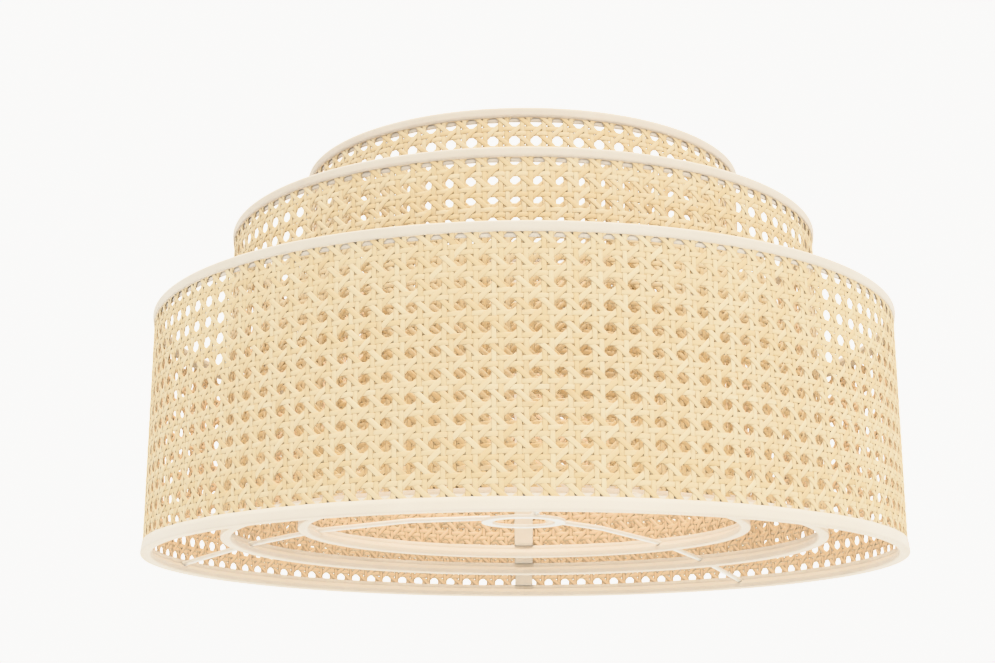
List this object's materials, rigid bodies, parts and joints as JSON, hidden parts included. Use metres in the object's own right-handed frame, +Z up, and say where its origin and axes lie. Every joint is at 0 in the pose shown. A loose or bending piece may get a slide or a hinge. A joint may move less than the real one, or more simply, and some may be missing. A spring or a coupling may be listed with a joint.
{
  "type": "lamp shade",
  "caption": "Stepped lamp shade of three nested cane-webbing drums, edged in cotton tape, on a wire spider with a fitter ring.",
  "frame": {"origin": "centre of the shade's axis at the lowest edge of the outer drum", "axes": "+Z up along the axis of the drums, +Y towards the webbing's joints at the back"},
  "size_m": [0.5018, 0.5018, 0.2645],
  "materials": {
    "cane": "natural satin cane",
    "cotton": "matte woven cotton",
    "ring_wire": "white powder coat",
    "spider": "white powder coat"
  },
  "bodies": {
    "root": {"outer_cane_panel": "cane", "outer_seam_strip": "cotton", "outer_top_wire_ring": "ring_wire", "outer_bottom_wire_ring": "ring_wire", "outer_top_tape": "cotton", "outer_bottom_tape": "cotton", "middle_cane_panel": "cane", "middle_seam_strip": "cotton", "middle_top_wire_ring": "ring_wire", "middle_bottom_wire_ring": "ring_wire", "middle_top_tape": "cotton", "middle_bottom_tape": "cotton", "inner_cane_panel": "cane", "inner_seam_strip": "cotton", "inner_top_wire_ring": "ring_wire", "inner_bottom_wire_ring": "ring_wire", "inner_top_tape": "cotton", "inner_bottom_tape": "cotton", "fitter_ring": "spider", "spider_arm_right": "spider", "spider_arm_left": "spider", "spider_arm_front": "spider"}
  },
  "joints": []
}
